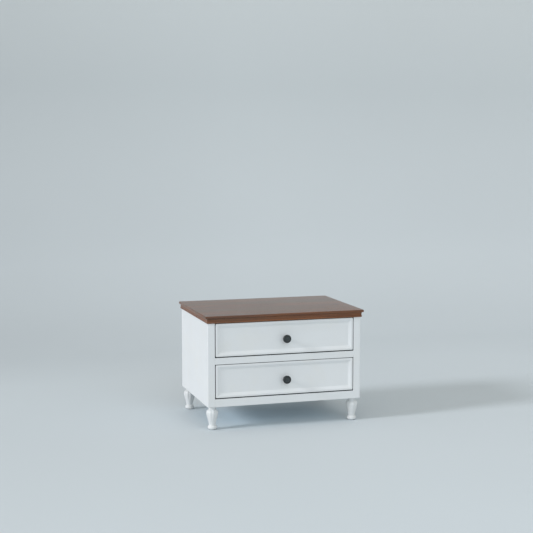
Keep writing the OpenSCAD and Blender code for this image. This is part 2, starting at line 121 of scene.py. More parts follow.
def makeLights():
    setup = lightSetup
    world = bpy.data.worlds.new("softSky")
    world.use_nodes = True
    background = world.node_tree.nodes["Background"]
    background.inputs["Color"].default_value = setup["sky"]
    background.inputs["Strength"].default_value = setup["skyStrength"]
    scene.world = world
    turn, height = math.radians(setup["sunTurn"]), math.radians(setup["sunHeight"])
    reach = 5 * math.cos(height)
    place = (-reach * math.cos(turn), -reach * math.sin(turn), 5 * math.sin(height))
    sun = addLight("sideLight", "SUN", place, (0, 0, 0), setup["sunColour"], setup["sunPower"])
    sun.angle = math.radians(setup["sunSpread"])
    fill = addLight("frontFill", "AREA", setup["fillPlace"], setup["fillAim"], setup["fillColour"],
                    setup["fillPower"])
    fill.shape = "SQUARE"
    fill.size = setup["fillSize"]


# Shader node helpers

def addNode(tree, kind, **settings):
    node = tree.nodes.new(kind)
    for name, value in settings.items():
        setattr(node, name, value)
    return node


def feed(tree, socket, value):
    # a socket takes a link from another socket, or a plain value
    if isinstance(value, bpy.types.NodeSocket):
        tree.links.new(value, socket)
    else:
        socket.default_value = value


def maths(tree, operation, first, second=0.0, clamp=False):
    node = addNode(tree, "ShaderNodeMath", operation=operation, use_clamp=clamp)
    feed(tree, node.inputs[0], first)
    feed(tree, node.inputs[1], second)
    return node.outputs[0]


def stretch(tree, vector, factors):
    node = addNode(tree, "ShaderNodeVectorMath", operation="MULTIPLY")
    feed(tree, node.inputs[0], vector)
    node.inputs[1].default_value = factors
    return node.outputs[0]


def shift(tree, vector, offset):
    node = addNode(tree, "ShaderNodeVectorMath", operation="ADD")
    feed(tree, node.inputs[0], vector)
    feed(tree, node.inputs[1], offset)
    return node.outputs[0]


def noise(tree, vector, scale, detail=2.0, roughness=0.5):
    node = addNode(tree, "ShaderNodeTexNoise")
    feed(tree, node.inputs["Vector"], vector)
    node.inputs["Scale"].default_value = scale
    node.inputs["Detail"].default_value = detail
    node.inputs["Roughness"].default_value = roughness
    return node.outputs["Fac"]


def remap(tree, value, fromLow, fromHigh, toLow, toHigh):
    node = addNode(tree, "ShaderNodeMapRange", clamp=True)
    feed(tree, node.inputs["Value"], value)
    limits = zip(("From Min", "From Max", "To Min", "To Max"), (fromLow, fromHigh, toLow, toHigh))
    for name, limit in limits:
        feed(tree, node.inputs[name], limit)
    return node.outputs["Result"]


def mixColours(tree, factor, first, second, blend="MIX"):
    node = addNode(tree, "ShaderNodeMix", data_type="RGBA", blend_type=blend)
    feed(tree, node.inputs[0], factor)
    feed(tree, node.inputs[6], first)
    feed(tree, node.inputs[7], second)
    return node.outputs[2]


def newGroup(name, inputs, outputs):
    tree = bpy.data.node_groups.new(name, "ShaderNodeTree")
    for label, kind, value in inputs:
        socket = tree.interface.new_socket(label, in_out="INPUT", socket_type="NodeSocket" + kind)
        if value is not None:
            socket.default_value = value
    for label, kind in outputs:
        tree.interface.new_socket(label, in_out="OUTPUT", socket_type="NodeSocket" + kind)
    return tree, tree.nodes.new("NodeGroupInput").outputs, tree.nodes.new("NodeGroupOutput").inputs


# Shared effects

def buildEdgeWearAndHighlight():
    # 1 on a sharp edge and 0 on a flat face, broken up so that it isn't an even line; on paint and metal
    # it marks edge wear, on walnut partly edge wear and partly a painted highlight
    tree, given, out = newGroup(
        "edgeWearAndHighlight",
        [("Vector", "Vector", None), ("Radius", "Float", 0.8 * mm), ("Patchiness", "Float", 90.0)],
        [("Mask", "Float")],
    )
    bevel = addNode(tree, "ShaderNodeBevel", samples=6)
    feed(tree, bevel.inputs["Radius"], given["Radius"])
    surface = addNode(tree, "ShaderNodeNewGeometry")
    turn = addNode(tree, "ShaderNodeVectorMath", operation="DOT_PRODUCT")
    feed(tree, turn.inputs[0], bevel.outputs[0])
    feed(tree, turn.inputs[1], surface.outputs["Normal"])
    edge = remap(tree, turn.outputs["Value"], 0.99, 0.80, 0.0, 1.0)
    patches = addNode(tree, "ShaderNodeTexNoise")
    feed(tree, patches.inputs["Vector"], given["Vector"])
    feed(tree, patches.inputs["Scale"], given["Patchiness"])
    patches.inputs["Detail"].default_value = 3
    wearAndHighlightAmount = remap(tree, patches.outputs["Fac"], 0.42, 0.62, 0.25, 1.0)
    feed(tree, out["Mask"], maths(tree, "MULTIPLY", edge, wearAndHighlightAmount))
    return tree


def buildPaintSkin():
    # sprayed lacquer: faint clouds of tone, orange peel and a few nibs
    tree, given, out = newGroup(
        "paintSkin",
        [("Vector", "Vector", None), ("Colour", "Color", (0.8, 0.8, 0.8, 1)),
         ("Roughness", "Float", 0.4), ("Peel", "Float", 620.0)],
        [("Colour", "Color"), ("Roughness", "Float"), ("Height", "Float")],
    )
    vector = given["Vector"]
    cloud = noise(tree, vector, 4.5, 3.0, 0.6)
    shade = remap(tree, cloud, 0.3, 0.7, 0.965, 1.0)
    toned = addNode(tree, "ShaderNodeVectorMath", operation="SCALE")
    feed(tree, toned.inputs[0], given["Colour"])
    feed(tree, toned.inputs["Scale"], shade)
    warm = remap(tree, noise(tree, vector, 11.0, 2.0), 0.5, 0.75, 0.0, 0.6)
    feed(tree, out["Colour"], mixColours(tree, warm, toned.outputs[0], (1.0, 0.985, 0.95, 1), "MULTIPLY"))
    polish = remap(tree, noise(tree, vector, 28.0, 4.0), 0.3, 0.7, -0.035, 0.045)
    feed(tree, out["Roughness"], maths(tree, "ADD", given["Roughness"], polish))
    peel = addNode(tree, "ShaderNodeTexNoise")
    feed(tree, peel.inputs["Vector"], vector)
    feed(tree, peel.inputs["Scale"], given["Peel"])
    peel.inputs["Detail"].default_value = 1.5
    wave = noise(tree, vector, 75.0, 1.0)
    nibs = remap(tree, noise(tree, vector, 1300.0, 0.0), 0.80, 0.86, 0.0, 0.5)
    height = maths(tree, "ADD", peel.outputs["Fac"], maths(tree, "MULTIPLY", wave, 0.7))
    feed(tree, out["Height"], maths(tree, "ADD", height, nibs))
    return tree


def buildWalnutFigure():
    # grain along the first axis: growth rings cut at a slant, streaks, fibres and open pores
    tree, given, out = newGroup(
        "walnutFigure",
        [("Vector", "Vector", None), ("Dark", "Color", (0.07, 0.03, 0.01, 1)),
         ("Middle", "Color", (0.16, 0.06, 0.02, 1)), ("Light", "Color", (0.26, 0.11, 0.04, 1)),
         ("Spacing", "Float", 9.0 * mm), ("Mineral", "Float", 0.5)],
        [("Colour", "Color"), ("Roughness", "Float"), ("Height", "Float")],
    )
    vector = given["Vector"]
    drift = noise(tree, stretch(tree, vector, (1.1, 5.0, 5.0)), 1.0, 2.0)
    waver = noise(tree, stretch(tree, vector, (7.0, 60.0, 60.0)), 1.0, 2.0)
    slanted = shift(tree, stretch(tree, vector, (0.045, 1.0, 1.0)), (0.0, -0.035, 0.34))
    span = addNode(tree, "ShaderNodeVectorMath", operation="LENGTH")
    feed(tree, span.inputs[0], slanted)
    ringCount = maths(tree, "DIVIDE", span.outputs["Value"], given["Spacing"])
    ringCount = maths(tree, "ADD", ringCount, maths(tree, "MULTIPLY", drift, 7.0))
    ringCount = maths(tree, "ADD", ringCount, maths(tree, "MULTIPLY", waver, 0.55))
    ring = maths(tree, "FRACT", ringCount)
    late = maths(tree, "POWER", ring, 2.2)
    streaks = noise(tree, stretch(tree, vector, (1.6, 34.0, 34.0)), 1.0, 5.0, 0.62)
    fibre = noise(tree, stretch(tree, vector, (14.0, 620.0, 620.0)), 1.0, 3.0, 0.6)
    pores = noise(tree, stretch(tree, vector, (75.0, 1500.0, 1500.0)), 1.0, 1.0)
    pores = remap(tree, pores, 0.60, 0.70, 0.0, 1.0)
    tone = maths(tree, "MULTIPLY", streaks, 1.15)
    tone = maths(tree, "ADD", tone, maths(tree, "MULTIPLY", fibre, 0.30))
    tone = maths(tree, "SUBTRACT", tone, maths(tree, "MULTIPLY", late, 0.26))
    tone = maths(tree, "SUBTRACT", tone, 0.14, clamp=True)
    low = mixColours(tree, remap(tree, tone, 0.20, 0.50, 0.0, 1.0), given["Dark"], given["Middle"])
    colour = mixColours(tree, remap(tree, tone, 0.48, 0.85, 0.0, 1.0), low, given["Light"])
    mineral = noise(tree, stretch(tree, vector, (1.3, 11.0, 11.0)), 1.0, 2.0)
    mineral = remap(tree, mineral, 0.48, 0.66, 0.0, given["Mineral"])
    colour = mixColours(tree, mineral, colour, (0.098, 0.064, 0.034, 1))
    colour = mixColours(tree, maths(tree, "MULTIPLY", pores, 0.55), colour, (0.022, 0.012, 0.008, 1))
    feed(tree, out["Colour"], colour)
    rough = maths(tree, "ADD", 0.27, maths(tree, "MULTIPLY", pores, 0.2))
    rough = maths(tree, "ADD", rough, maths(tree, "MULTIPLY", streaks, 0.10))
    feed(tree, out["Roughness"], rough)
    height = maths(tree, "SUBTRACT", maths(tree, "MULTIPLY", fibre, 0.4), pores)
    feed(tree, out["Height"], maths(tree, "SUBTRACT", height, maths(tree, "MULTIPLY", late, 0.15)))
    return tree


def buildPaleTimber():
    # birch and beech: close grain along the first axis, with short flecks
    tree, given, out = newGroup(
        "paleTimber",
        [("Vector", "Vector", None), ("Colour", "Color", (0.62, 0.46, 0.27, 1)),
         ("Streak", "Color", (0.45, 0.29, 0.15, 1))],
        [("Colour", "Color"), ("Height", "Float")],
    )
    vector = given["Vector"]
    bands = noise(tree, stretch(tree, vector, (2.0, 42.0, 42.0)), 1.0, 4.0, 0.55)
    fibre = noise(tree, stretch(tree, vector, (22.0, 780.0, 780.0)), 1.0, 2.0)
    flecks = noise(tree, stretch(tree, vector, (130.0, 1100.0, 1100.0)), 1.0, 1.0)
    flecks = remap(tree, flecks, 0.62, 0.70, 0.0, 1.0)
    blend = remap(tree, bands, 0.35, 0.75, 0.0, 0.55)
    blend = maths(tree, "ADD", blend, remap(tree, fibre, 0.45, 0.7, 0.0, 0.22))
    blend = maths(tree, "ADD", blend, maths(tree, "MULTIPLY", flecks, 0.35), clamp=True)
    feed(tree, out["Colour"], mixColours(tree, blend, given["Colour"], given["Streak"]))
    feed(tree, out["Height"], maths(tree, "SUBTRACT", fibre, maths(tree, "MULTIPLY", flecks, 0.6)))
    return tree


def buildPlyEdge():
    # veneers seen on the cut edges of a board whose thickness runs along Across
    tree, given, out = newGroup(
        "plyEdge",
        [("Vector", "Vector", None), ("Across", "Vector", (1, 0, 0)), ("Veneer", "Float", 1.35 * mm),
         ("Face", "Color", (0.6, 0.45, 0.3, 1))],
        [("Colour", "Color"), ("Height", "Float")],
    )
    surface = addNode(tree, "ShaderNodeNewGeometry")
    facing = addNode(tree, "ShaderNodeVectorMath", operation="DOT_PRODUCT")
    feed(tree, facing.inputs[0], surface.outputs["True Normal"])
    feed(tree, facing.inputs[1], given["Across"])
    cut = maths(tree, "LESS_THAN", maths(tree, "ABSOLUTE", facing.outputs["Value"]), 0.35)
    depth = addNode(tree, "ShaderNodeVectorMath", operation="DOT_PRODUCT")
    feed(tree, depth.inputs[0], given["Vector"])
    feed(tree, depth.inputs[1], given["Across"])
    layer = maths(tree, "DIVIDE", depth.outputs["Value"], given["Veneer"])
    wobble = maths(tree, "MULTIPLY", noise(tree, given["Vector"], 120.0, 1.0), 0.25)
    layer = maths(tree, "PINGPONG", maths(tree, "ADD", layer, wobble), 1.0)
    band = remap(tree, layer, 0.42, 0.58, 0.0, 1.0)
    glue = remap(tree, maths(tree, "ABSOLUTE", maths(tree, "SUBTRACT", layer, 0.5)), 0.0, 0.07, 1.0, 0.0)
    speckle = noise(tree, given["Vector"], 1500.0, 2.0)
    light = mixColours(tree, speckle, (0.66, 0.50, 0.30, 1), (0.55, 0.39, 0.22, 1))
    dark = mixColours(tree, speckle, (0.44, 0.29, 0.155, 1), (0.33, 0.205, 0.10, 1))
    edge = mixColours(tree, band, light, dark)
    edge = mixColours(tree, maths(tree, "MULTIPLY", glue, 0.6), edge, (0.18, 0.10, 0.05, 1))
    feed(tree, out["Colour"], mixColours(tree, cut, given["Face"], edge))
    feed(tree, out["Height"], maths(tree, "MULTIPLY", cut, maths(tree, "ADD", band, speckle)))
    return tree


def buildMetalSkin():
    # fine scratches one way, cloudy plating and small specks
    tree, given, out = newGroup(
        "metalSkin",
        [("Vector", "Vector", None), ("Colour", "Color", (0.6, 0.6, 0.6, 1)),
         ("Tint", "Color", (0.5, 0.5, 0.45, 1)), ("Roughness", "Float", 0.35)],
        [("Colour", "Color"), ("Roughness", "Float"), ("Height", "Float")],
    )
    vector = given["Vector"]
    cloud = remap(tree, noise(tree, vector, 38.0, 4.0, 0.6), 0.35, 0.7, 0.0, 1.0)
    scratches = noise(tree, stretch(tree, vector, (900.0, 12.0, 900.0)), 1.0, 3.0)
    specks = remap(tree, noise(tree, vector, 850.0, 2.0), 0.60, 0.72, 0.0, 1.0)
    feed(tree, out["Colour"], mixColours(tree, cloud, given["Colour"], given["Tint"]))
    rough = maths(tree, "ADD", given["Roughness"], maths(tree, "MULTIPLY", cloud, 0.10))
    rough = maths(tree, "ADD", rough, maths(tree, "MULTIPLY", specks, 0.10))
    feed(tree, out["Roughness"], rough)
    feed(tree, out["Height"], maths(tree, "ADD", scratches, maths(tree, "MULTIPLY", specks, 0.5)))
    return tree


effects = {
    "edgeWearAndHighlight": buildEdgeWearAndHighlight(),
    "paintSkin": buildPaintSkin(),
    "walnutFigure": buildWalnutFigure(),
    "paleTimber": buildPaleTimber(),
    "plyEdge": buildPlyEdge(),
    "metalSkin": buildMetalSkin(),
}
print("shared effects built:", len(effects))


# Materials

def newMaterial(name, colour):
    material = bpy.data.materials.new(name)
    material.use_nodes = True
    material.diffuse_color = colour
    tree = material.node_tree
    return material, tree, tree.nodes["Principled BSDF"]


def placeEffect(tree, name, **values):
    node = addNode(tree, "ShaderNodeGroup", node_tree=effects[name])
    for label, value in values.items():
        feed(tree, node.inputs[label], value)
    return node.outputs


def partSpace(tree, turned="x", offset=(0, 0, 0)):
    # the piece's own coordinates, turned so that the grain's direction comes first
    vector = addNode(tree, "ShaderNodeTexCoord").outputs["Object"]
    if turned != "x":
        split = addNode(tree, "ShaderNodeSeparateXYZ")
        feed(tree, split.inputs[0], vector)
        join = addNode(tree, "ShaderNodeCombineXYZ")
        order = {"y": "YXZ", "z": "ZXY"}[turned]
        for i, letter in enumerate(order):
            feed(tree, join.inputs[i], split.outputs[letter])
        vector = join.outputs[0]
    return shift(tree, vector, offset)


def addBump(tree, shader, height, distance):
    bump = addNode(tree, "ShaderNodeBump")
    bump.inputs["Strength"].default_value = 1.0
    bump.inputs["Distance"].default_value = distance
    feed(tree, bump.inputs["Height"], height)
    feed(tree, shader.inputs["Normal"], bump.outputs["Normal"])


paintLook = {
    "colour": (0.768, 0.779, 0.788, 1),
    "roughness": 0.36,
    "wearAndHighlightColour": (0.70, 0.69, 0.66, 1),
    "peelDepth": 0.012 * mm,
}


def makePaint(name, look):
    material, tree, shader = newMaterial(name, look["colour"])
    vector = partSpace(tree)
    skin = placeEffect(tree, "paintSkin", Vector=vector, Colour=look["colour"],
                       Roughness=look["roughness"])
    wearAndHighlight = placeEffect(tree, "edgeWearAndHighlight", Vector=vector, Radius=0.7 * mm)["Mask"]
    colour = mixColours(tree, maths(tree, "MULTIPLY", wearAndHighlight, 0.16), skin["Colour"], look["wearAndHighlightColour"])
    feed(tree, shader.inputs["Base Color"], colour)
    feed(tree, shader.inputs["Roughness"], skin["Roughness"])
    addBump(tree, shader, skin["Height"], look["peelDepth"])
    return material


walnutLook = {
    "dark": (0.108, 0.031, 0.007, 1),
    "middle": (0.200, 0.062, 0.014, 1),
    "light": (0.285, 0.104, 0.028, 1),
    # lighter tone on the walnut's edges: partly edge wear, partly a painted highlight along the nose
    "wearAndHighlightColour": (0.38, 0.20, 0.11, 1),
    "poreDepth": 0.035 * mm,
}


def makeWalnut(name, grain, offset, look, shade, coat, mineral):
    material, tree, shader = newMaterial(name, look["middle"])
    vector = partSpace(tree, grain, offset)
    tones = {}
    for key in ("dark", "middle", "light"):
        tones[key.title()] = tuple(c * shade for c in look[key][:3]) + (1,)
    figure = placeEffect(tree, "walnutFigure", Vector=vector, Mineral=mineral, **tones)
    # on the walnut the edge mark is partly wear and partly a painted highlight along the rounded edges
    wearAndHighlight = placeEffect(tree, "edgeWearAndHighlight", Vector=vector, Radius=2.4 * mm)["Mask"]
    colour = mixColours(tree, maths(tree, "MULTIPLY", wearAndHighlight, 0.35), figure["Colour"], look["wearAndHighlightColour"])
    feed(tree, shader.inputs["Base Color"], colour)
    feed(tree, shader.inputs["Roughness"], figure["Roughness"])
    shader.inputs["Coat Weight"].default_value = coat
    shader.inputs["Coat Roughness"].default_value = 0.28
    addBump(tree, shader, figure["Height"], look["poreDepth"])
    return material


def makeTimber(name, grain, colour, streak, roughness, across=None, veneer=1.35 * mm):
    material, tree, shader = newMaterial(name, colour)
    timber = placeEffect(tree, "paleTimber", Vector=partSpace(tree, grain), Colour=colour, Streak=streak)
    shown, height = timber["Colour"], timber["Height"]
    if across:
        edge = placeEffect(tree, "plyEdge", Vector=partSpace(tree), Across=across, Veneer=veneer,
                           Face=shown)
        shown = edge["Colour"]
        height = maths(tree, "ADD", height, edge["Height"])
    feed(tree, shader.inputs["Base Color"], shown)
    rough = noise(tree, partSpace(tree), 30.0, 3.0)
    rough = remap(tree, rough, 0.3, 0.7, roughness - 0.05, roughness + 0.05)
    feed(tree, shader.inputs["Roughness"], rough)
    addBump(tree, shader, height, 0.02 * mm)
    return material


def makeMetal(name, colour, tint, roughness, wearAndHighlightColour, metallic=1.0):
    material, tree, shader = newMaterial(name, colour)
    vector = partSpace(tree)
    skin = placeEffect(tree, "metalSkin", Vector=vector, Colour=colour, Tint=tint, Roughness=roughness)
    wearAndHighlight = placeEffect(tree, "edgeWearAndHighlight", Vector=vector, Radius=0.6 * mm, Patchiness=260.0)["Mask"]
    wearAndHighlightAmount = maths(tree, "MULTIPLY", wearAndHighlight, 0.5)
    feed(tree, shader.inputs["Base Color"], mixColours(tree, wearAndHighlightAmount, skin["Colour"], wearAndHighlightColour))
    feed(tree, shader.inputs["Roughness"], skin["Roughness"])
    shader.inputs["Metallic"].default_value = metallic
    addBump(tree, shader, skin["Height"], 0.01 * mm)
    return material


def makeNylon(name):
    material, tree, shader = newMaterial(name, (0.72, 0.72, 0.69, 1))
    vector = partSpace(tree)
    fine = noise(tree, vector, 900.0, 2.0)
    scuffs = remap(tree, noise(tree, vector, 160.0, 3.0), 0.5, 0.7, 0.0, 1.0)
    colour = mixColours(tree, scuffs, (0.74, 0.74, 0.71, 1), (0.58, 0.57, 0.53, 1))
    feed(tree, shader.inputs["Base Color"], colour)
    feed(tree, shader.inputs["Roughness"], remap(tree, scuffs, 0.0, 1.0, 0.45, 0.7))
    addBump(tree, shader, fine, 0.02 * mm)
    return material


birchColour = (0.63, 0.475, 0.285, 1)
birchStreak = (0.47, 0.315, 0.17, 1)
beechColour = (0.52, 0.335, 0.19, 1)
beechStreak = (0.37, 0.215, 0.11, 1)

# near-black paint that stands in for the shade inside the gaps round the drawers: painted shade
gapShadeLook = {
    "colour": (0.065, 0.085, 0.097, 1),
    "roughness": 0.6,
    "wearAndHighlightColour": (0.11, 0.13, 0.14, 1),
    "peelDepth": 0.02 * mm,
}

whitePaint = makePaint("whitePaint", paintLook)
# the feet take a darker copy of the white paint: painted shade on the feet
footPaintShaded = makePaint("footPaintShaded", {**paintLook, "colour": (0.725, 0.735, 0.738, 1), "roughness": 0.45})
# painted shade for the faces inside the drawer gaps
gapShadePaint = makePaint("gapShadePaint", gapShadeLook)
# the top's walnut tones are scaled to 0.79 of the bands': painted shade on the top
walnutTop = makeWalnut("walnutTop", "x", (0.13, 0.02, 0.0), walnutLook, 0.79, 0.32, 0.68)
walnutFront = makeWalnut("walnutFront", "x", (0.71, 0.15, 0.03), walnutLook, 1.0, 0.1, 0.5)
walnutSide = makeWalnut("walnutSide", "y", (0.37, 0.09, 0.05), walnutLook, 1.0, 0.1, 0.5)
birchAcrossX = makeTimber("birchAcrossX", "y", birchColour, birchStreak, 0.5, (1, 0, 0))
birchAcrossY = makeTimber("birchAcrossY", "x", birchColour, birchStreak, 0.5, (0, 1, 0))
birchAcrossZ = makeTimber("birchAcrossZ", "x", birchColour, birchStreak, 0.5, (0, 0, 1), 1.0 * mm)
beechAlongX = makeTimber("beechAlongX", "x", beechColour, beechStreak, 0.6)
beechAlongY = makeTimber("beechAlongY", "y", beechColour, beechStreak, 0.6)
backBoard = makeTimber("backBoard", "x", (0.62, 0.585, 0.52, 1), (0.52, 0.48, 0.41, 1), 0.55,
                       (0, 1, 0), 1.0 * mm)
zincSteel = makeMetal("zincSteel", (0.60, 0.61, 0.62, 1), (0.52, 0.53, 0.50, 1), 0.28,
                      (0.75, 0.75, 0.75, 1))
blackIron = makeMetal("blackIron", (0.018, 0.023, 0.025, 1), (0.026, 0.031, 0.032, 1), 0.48,
                      (0.07, 0.075, 0.077, 1), 0.2)
knobFace = makeMetal("knobFace", (0.034, 0.043, 0.046, 1), (0.046, 0.055, 0.057, 1), 0.55,
                     (0.10, 0.11, 0.115, 1), 0.2)
nylon = makeNylon("nylon")
print("materials built")


# Mesh helpers

def asMesh(name, bm, sharp):
    bmesh.ops.recalc_face_normals(bm, faces=bm.faces)
    mesh = bpy.data.meshes.new(name)
    bm.to_mesh(mesh)
    bm.free()
    mesh.shade_smooth()
    mesh.set_sharp_from_angle(angle=math.radians(sharp))
    return mesh


def skinLoops(name, loops, sharp, other=()):
    # closed solid through loops that all have the same number of points;
    # the bands numbered in other get the second material
    bm = bmesh.new()
    rings = [[bm.verts.new(point) for point in loop] for loop in loops]
    count = len(rings[0])
    for band, (low, high) in enumerate(zip(rings, rings[1:])):
        for i in range(count):
            j = (i + 1) % count
            face = bm.faces.new((low[i], low[j], high[j], high[i]))
            face.material_index = int(band in other)
    bm.faces.new(list(reversed(rings[0])))
    bm.faces.new(rings[-1]).material_index = int(len(rings) - 1 in other)
    return asMesh(name, bm, sharp)


def addPiece(name, mesh, materials, body, replaced):
    piece = bpy.data.objects.new(name, mesh)
    for material in materials:
        mesh.materials.append(material)
    scene.collection.objects.link(piece)
    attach(piece, body)
    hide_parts(*replaced)
    return piece


def easeEdges(piece, width, segments, method):
    bevel = piece.modifiers.new("easedEdges", "BEVEL")
    bevel.width = width
    bevel.segments = segments
    bevel.limit_method = method
    weighted = piece.modifiers.new("evenShading", "WEIGHTED_NORMAL")
    weighted.keep_sharp = True
    return bevel


def arcPoints(centre, radius, start, end, steps):
    points = []
    for i in range(steps + 1):
        angle = math.radians(start + (end - start) * i / steps)
        points.append((centre[0] + radius * math.cos(angle), centre[1] + radius * math.sin(angle)))
    return points


def roundedRectangle(low, high, radii, steps=5):
    # corners in the order low low, high low, high high, low high
    loop = []
    corners = ((low[0], low[1], 180), (high[0], low[1], 270))
    corners += ((high[0], high[1], 0), (low[0], high[1], 90))
    for (x, y, start), radius in zip(corners, radii):
        centre = (x + radius if x == low[0] else x - radius, y + radius if y == low[1] else y - radius)
        loop += arcPoints(centre, radius, start, start + 90, steps)
    return loop


# The walnut top: a moulded board on a mitred band

topLow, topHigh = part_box("top_board")
topShape = {
    "overhang": topHigh.x - halfBody,
    "noseRound": 1.7 * mm,
    "coveHeight": 5.0 * mm,
    "coveStep": 0.35 * mm,
    "bandOut": 3.2 * mm,
    "beadRadius": 3.3 * mm,
    "beadIn": 1.8 * mm,
    "beadHeight": 3.6 * mm,
    "cornerRound": 1.0 * mm,
    "rearRound": 0.6 * mm,
    "mitreGap": 0.06 * mm,
}


def makeTopBoard():
    shape = topShape
    out, nose, cove = shape["overhang"], shape["noseRound"], shape["coveHeight"]
    thick = topHigh.z - topLow.z
    # (overhang, height over the board's underside)
    profile = arcPoints((out - nose, 0), cove, 180, 100, 12)
    profile += [(out - nose + 0.1 * mm, cove), (out - nose + shape["coveStep"], cove + 0.05 * mm)]
    profile += arcPoints((out - nose, cove + nose), nose, -68, 0, 8)
    profile += arcPoints((out - nose, thick - nose), nose, 0, 90, 10)
    loops = []
    for overhang, height in profile:
        rear = topHigh.y - max(0, shape["rearRound"] - (thick - height))
        low = (-halfBody - overhang, faceY - overhang)
        corner = shape["cornerRound"]
        radii = (corner, corner, shape["rearRound"], shape["rearRound"])
        rectangle = roundedRectangle(low, (-low[0], rear), radii)
        loops.append([(x, y, topLow.z + height) for x, y in rectangle])
    return skinLoops("topBoard", loops, 28)


def bandSection():
    # (overhang, height) round one moulding strip, its bead first
    shape = topShape
    low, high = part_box("moulding_front")
    tall = high.z - low.z
    inner = faceY - high.y
    turn = math.degrees(math.acos(shape["beadIn"] / shape["beadRadius"]))
    ease = 0.5 * mm
    section = [(shape["bandOut"] - ease, 0), (shape["bandOut"], ease * 0.6)]
    section += arcPoints((shape["bandOut"] - shape["beadIn"], shape["beadHeight"]), shape["beadRadius"],
                         -turn + 4, turn, 14)
    section += [(shape["bandOut"], tall - ease), (shape["bandOut"] - ease, tall)]
    section += [(inner, tall), (inner, 0)]
    return section


def makeBand(name, side):
    # side 0 is the front strip, -1 the left and 1 the right one
    gap = topShape["mitreGap"]
    loops = [[], []]
    for overhang, height in bandSection():
        z = bodyTop + height
        if side == 0:
            reach = halfBody + overhang - gap
            ends = ((-reach, faceY - overhang, z), (reach, faceY - overhang, z))
        else:
            x = side * (halfBody + overhang)
            ends = ((x, faceY - overhang + gap, z), (x, topHigh.y, z))
        loops[0].append(ends[0])
        loops[1].append(ends[1])
    return skinLoops(name, loops, 28)


addPiece("topBoard", makeTopBoard(), [walnutTop], "carcass", ["top_board"])
addPiece("bandFront", makeBand("bandFront", 0), [walnutFront], "carcass", ["moulding_front"])
addPiece("bandLeft", makeBand("bandLeft", -1), [walnutSide], "carcass", ["moulding_left"])
addPiece("bandRight", makeBand("bandRight", 1), [walnutSide], "carcass", ["moulding_right"])
print("top made")


# The painted front frame

frameShape = {
    "outerRound": 1.6 * mm,
    "openingRound": 0.8 * mm,
    "jointRound": 0.12 * mm,
    "roundSteps": 4,
}


def makeBoard(name, low, high, rounds, shadedFaces):
    # rounds gives the radius on an edge and the second list names the faces that take the near-black
    # painted shade of the drawer gaps; both name a place by 0 for the low side, 1 for the middle and 2
    # for the high side of x, y and z
    bm = bmesh.new()
    ends = (low, high)
    corners = {}
    for place in itertools.product((0, 1), repeat=3):
        corners[place] = bm.verts.new([ends[place[i]][i] for i in range(3)])
    for axis in range(3):
        for end in (0, 1):
            turns = ((0, 0), (1, 0), (1, 1), (0, 1))
            ring = [turn[:axis] + (end,) + turn[axis:] for turn in turns]
            face = bm.faces.new([corners[place] for place in ring])
            middle = [1, 1, 1]
            middle[axis] = 2 * end
            face.material_index = int(tuple(middle) in shadedFaces)

    places = {vert: place for place, vert in corners.items()}
    layer = bm.edges.layers.float.new("bevel_weight_edge")
    largest = max(rounds.values())
    for edge in bm.edges:
        middle = tuple(a + b for a, b in zip(places[edge.verts[0]], places[edge.verts[1]]))
        edge[layer] = rounds.get(middle, frameShape["jointRound"]) / largest
    return asMesh(name, bm, 60), largest


def addBoard(name, node, rounds, shadedFaces):
    low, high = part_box(node)
    mesh, largest = makeBoard(name, low, high, rounds, shadedFaces)
    piece = addPiece(name, mesh, [whitePaint, gapShadePaint], "carcass", [node])
    bevel = easeEdges(piece, largest, frameShape["roundSteps"], "WEIGHT")
    bevel.material = 0


# the listed faces turned to the drawer openings take the near-black painted shade of the gaps
outer, opening = frameShape["outerRound"], frameShape["openingRound"]
leftRounds = {(0, 0, 1): outer, (2, 0, 1): opening, (1, 0, 0): opening, (0, 1, 0): opening}
rightRounds = {(2, 0, 1): outer, (0, 0, 1): opening, (1, 0, 0): opening, (2, 1, 0): opening}
addBoard("stileLeft", "stile_left", leftRounds, [(2, 1, 1)])
addBoard("stileRight", "stile_right", rightRounds, [])
addBoard("railBottom", "bottom_rail", {(1, 0, 2): opening, (1, 0, 0): opening}, [(1, 1, 2)])
addBoard("railMiddle", "mid_rail", {(1, 0, 2): opening, (1, 0, 0): opening}, [(1, 1, 0), (1, 1, 2)])
print("front frame made")


# Drawer fronts: a raised lip, a bevel and a flat recessed panel

frontShape = {
    "lip": 7.0 * mm,
    "bevel": 11.5 * mm,
    "depth": 4.5 * mm,
    "edgeRound": 1.3 * mm,
    "cornerRound": 4.0 * mm,
    "bevelSteps": 24,
}


def bevelFall(steps):
    # shares of the depth across the bevel: straight, eased more at its foot than at its head
    slopes = [min(1, (i + 0.5) / steps / 0.06, (1 - (i + 0.5) / steps) / 0.14) for i in range(steps)]
    fall = [0]
    for slope in slopes:
        fall.append(fall[-1] + slope / sum(slopes))
    return fall


def makeFront(name, node):
    low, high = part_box(node)
    shape = frontShape
    thick = high.y - low.y
    edge, lip = shape["edgeRound"], shape["lip"]
    # (inset from the front's edge, depth behind its face)
    profile = [(edge * 0.4, thick), (0, thick - edge * 0.4)]
    profile += [(edge - x, edge - y) for x, y in arcPoints((0, 0), edge, 0, 90, 8)]
    fall = bevelFall(shape["bevelSteps"])
    for i, share in enumerate(fall):
        profile.append((lip + shape["bevel"] * i / shape["bevelSteps"], shape["depth"] * share))
    loops = []
    for inset, depth in profile:
        corner = max(shape["cornerRound"] - inset, 0.06 * mm)
        start, end = (low.x + inset, low.z + inset), (high.x - inset, high.z - inset)
        rectangle = roundedRectangle(start, end, [corner] * 4, 6)
        loops.append([(x, low.y + depth, z) for x, z in rectangle])
    return skinLoops(name, loops, 24)


for row in ("upper", "lower"):
    title = row + "Front"
    node = row + "_front"
    addPiece(title, makeFront(title, node), [whitePaint], row + "_drawer", [node])
print("drawer fronts made")


# Knobs

